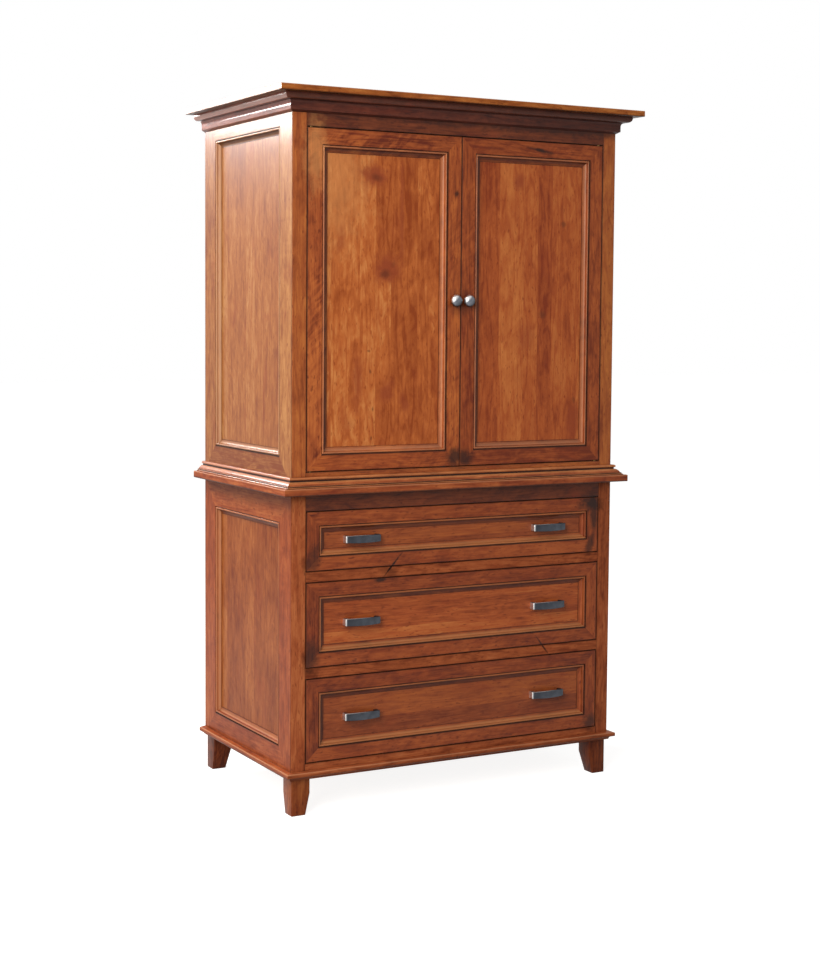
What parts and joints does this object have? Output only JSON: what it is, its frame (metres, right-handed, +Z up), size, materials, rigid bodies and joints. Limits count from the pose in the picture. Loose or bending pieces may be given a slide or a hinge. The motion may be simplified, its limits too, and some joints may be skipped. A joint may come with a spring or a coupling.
{
  "type": "computer armoire",
  "caption": "Tall two-part wooden computer armoire with panelled doors over a keyboard drawer with a drop front and deep drawers, on tapered feet under a crown moulding.",
  "frame": {"origin": "on the floor, at the middle of the overall box in plan", "axes": "+X to the right across the front, +Y to the back, +Z up; the doors and drawers face -Y"},
  "size_m": [1.162, 0.668, 1.959],
  "materials": {
    "lower_frame_wood": "stained and glazed, satin lacquer",
    "upper_frame_wood": "stained and glazed, satin lacquer",
    "shelf_wood": "stained, satin lacquer",
    "crown_wood": "stained and glazed, satin lacquer",
    "side_panel_wood": "stained, satin lacquer",
    "door_panel_wood": "stained, satin lacquer",
    "drawer_front_wood": "stained and glazed, satin lacquer",
    "drawer_panel_wood": "stained, satin lacquer",
    "drawer_box_wood": "clear lacquer",
    "back_panel_wood": "plywood, thin stain",
    "hinge_brass": "satin",
    "pewter": "dark pewter, satin",
    "slide_steel": "zinc plated",
    "black_plastic": "moulded, matt"
  },
  "bodies": {
    "carcase": {"lower_left_frame": "lower_frame_wood", "lower_right_frame": "lower_frame_wood", "lower_face_frame": "lower_frame_wood", "waist_top": "lower_frame_wood", "base_moulding": "lower_frame_wood", "foot_front_left": "lower_frame_wood", "foot_front_right": "lower_frame_wood", "foot_back_left": "lower_frame_wood", "foot_back_right": "lower_frame_wood", "upper_left_frame": "upper_frame_wood", "upper_right_frame": "upper_frame_wood", "upper_face_frame": "upper_frame_wood", "waist_moulding": "upper_frame_wood", "monitor_deck": "shelf_wood", "upper_ceiling": "shelf_wood", "shelves": "shelf_wood", "crown_moulding": "crown_wood", "crown_cap": "crown_wood", "lower_left_panel": "side_panel_wood", "lower_right_panel": "side_panel_wood", "upper_left_panel": "side_panel_wood", "upper_right_panel": "side_panel_wood", "lower_bottom": "drawer_box_wood", "slide_cleats": "drawer_box_wood", "lower_back": "back_panel_wood", "upper_back": "back_panel_wood", "shelf_pins": "hinge_brass", "hinge_case_leaves": "hinge_brass", "slide_case_members": "slide_steel", "cable_grommets": "black_plastic", "door_catch": "black_plastic"},
    "left_door": {"left_door_frame": "upper_frame_wood", "left_door_panel": "door_panel_wood", "left_knob": "pewter", "left_hinge_leaves": "hinge_brass", "left_strike": "slide_steel"},
    "right_door": {"right_door_frame": "upper_frame_wood", "right_door_panel": "door_panel_wood", "right_knob": "pewter", "right_hinge_leaves": "hinge_brass", "right_strike": "slide_steel"},
    "keyboard_drawer": {"keyboard_drawer_box": "drawer_box_wood", "flap_brackets": "slide_steel", "keyboard_drawer_members": "slide_steel"},
    "keyboard_front": {"keyboard_front_frame": "drawer_front_wood", "keyboard_front_panel": "drawer_panel_wood", "keyboard_pulls": "pewter"},
    "keyboard_slides": {"keyboard_middle_members": "slide_steel"},
    "middle_drawer": {"middle_front_frame": "drawer_front_wood", "middle_front_panel": "drawer_panel_wood", "middle_pulls": "pewter", "middle_drawer_box": "drawer_box_wood", "middle_drawer_members": "slide_steel"},
    "middle_slides": {"middle_middle_members": "slide_steel"},
    "bottom_drawer": {"bottom_front_frame": "drawer_front_wood", "bottom_front_panel": "drawer_panel_wood", "bottom_pulls": "pewter", "bottom_drawer_box": "drawer_box_wood", "bottom_drawer_members": "slide_steel"},
    "bottom_slides": {"bottom_middle_members": "slide_steel"}
  },
  "joints": [
    {"name": "left_door_hinge", "type": "hinge", "parent": "carcase", "child": "left_door", "pos_m": [-0.464, -0.268, 1.398], "axis": [0, 0, -1], "range_deg": [0, 120]},
    {"name": "right_door_hinge", "type": "hinge", "parent": "carcase", "child": "right_door", "pos_m": [0.464, -0.268, 1.398], "axis": [0, 0, 1], "range_deg": [0, 120]},
    {"name": "keyboard_drawer_slide", "type": "slide", "parent": "carcase", "child": "keyboard_drawer", "axis": [0, -1, 0], "range_m": [0, 0.45]},
    {"name": "keyboard_front_drop", "type": "hinge", "parent": "keyboard_drawer", "child": "keyboard_front", "pos_m": [0, -0.268, 0.681], "axis": [1, 0, 0], "range_deg": [0, 90]},
    {"name": "keyboard_middle_member_slide", "type": "slide", "parent": "carcase", "child": "keyboard_slides", "axis": [0, -1, 0], "range_m": [0, 0.225]},
    {"name": "middle_drawer_slide", "type": "slide", "parent": "carcase", "child": "middle_drawer", "axis": [0, -1, 0], "range_m": [0, 0.45]},
    {"name": "middle_middle_member_slide", "type": "slide", "parent": "carcase", "child": "middle_slides", "axis": [0, -1, 0], "range_m": [0, 0.225]},
    {"name": "bottom_drawer_slide", "type": "slide", "parent": "carcase", "child": "bottom_drawer", "axis": [0, -1, 0], "range_m": [0, 0.45]},
    {"name": "bottom_middle_member_slide", "type": "slide", "parent": "carcase", "child": "bottom_slides", "axis": [0, -1, 0], "range_m": [0, 0.225]}
  ],
  "couplings": [
    {"joint": "keyboard_middle_member_slide", "follows": "keyboard_drawer_slide", "ratio": 0.5},
    {"joint": "middle_middle_member_slide", "follows": "middle_drawer_slide", "ratio": 0.5},
    {"joint": "bottom_middle_member_slide", "follows": "bottom_drawer_slide", "ratio": 0.5}
  ]
}
